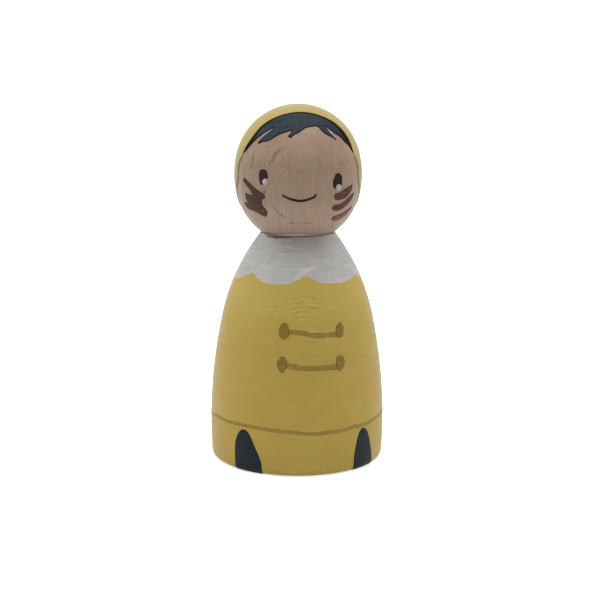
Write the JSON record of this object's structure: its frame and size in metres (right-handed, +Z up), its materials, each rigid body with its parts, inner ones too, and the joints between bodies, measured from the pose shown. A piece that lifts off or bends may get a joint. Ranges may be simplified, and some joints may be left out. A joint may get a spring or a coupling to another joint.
{
  "type": "peg doll",
  "caption": "Turned wooden peg doll with an egg-shaped head on a tapering body, painted with a hooded ochre toggle coat, a scalloped collar and dark boots.",
  "frame": {"origin": "centre of the flat foot of the body, on the surface that the doll stands on", "axes": "+Z up along the turning axis, -Y the way the face looks, +X to the viewer's right when looking at the face"},
  "size_m": [0.0402, 0.0402, 0.0804],
  "materials": {
    "beech": "turned and sanded, unpainted",
    "dowel_wood": "dry fluted dowel",
    "glue": "dried wood glue, rough",
    "hood_yellow": "satin acrylic paint film",
    "hood_line_olive": "acrylic paint line",
    "hair_blue_black": "acrylic paint film",
    "eye_black": "satin acrylic paint",
    "eye_dot_light": "acrylic paint dot",
    "mouth_brown": "fine painted line",
    "cheek_brown": "thin brown paint",
    "cheek_pink_brown": "thin pinkish paint",
    "collar_white": "matt brushed paint",
    "coat_ochre": "satin ochre paint film",
    "toggle_ochre": "darker ochre paint strokes",
    "hem_ochre": "darker ochre paint line",
    "boot_black": "blue black paint"
  },
  "bodies": {
    "root": {"head": "beech", "body": "beech", "neck_dowel": "dowel_wood", "neck_glue": "glue", "hood": "hood_yellow", "hood_line_left": "hood_line_olive", "hood_line_right": "hood_line_olive", "hair_fringe": "hair_blue_black", "left_eye": "eye_black", "right_eye": "eye_black", "left_eye_dot": "eye_dot_light", "right_eye_dot": "eye_dot_light", "mouth": "mouth_brown", "left_cheek": "cheek_brown", "right_cheek_upper": "cheek_brown", "right_cheek_middle": "cheek_brown", "right_cheek_lower": "cheek_pink_brown", "collar": "collar_white", "coat": "coat_ochre", "upper_toggle_cord": "toggle_ochre", "upper_toggle_left_knob": "toggle_ochre", "upper_toggle_right_knob": "toggle_ochre", "lower_toggle_cord": "toggle_ochre", "lower_toggle_left_knob": "toggle_ochre", "lower_toggle_right_knob": "toggle_ochre", "hem_line": "hem_ochre", "left_boot": "boot_black", "right_boot": "boot_black"}
  },
  "joints": []
}
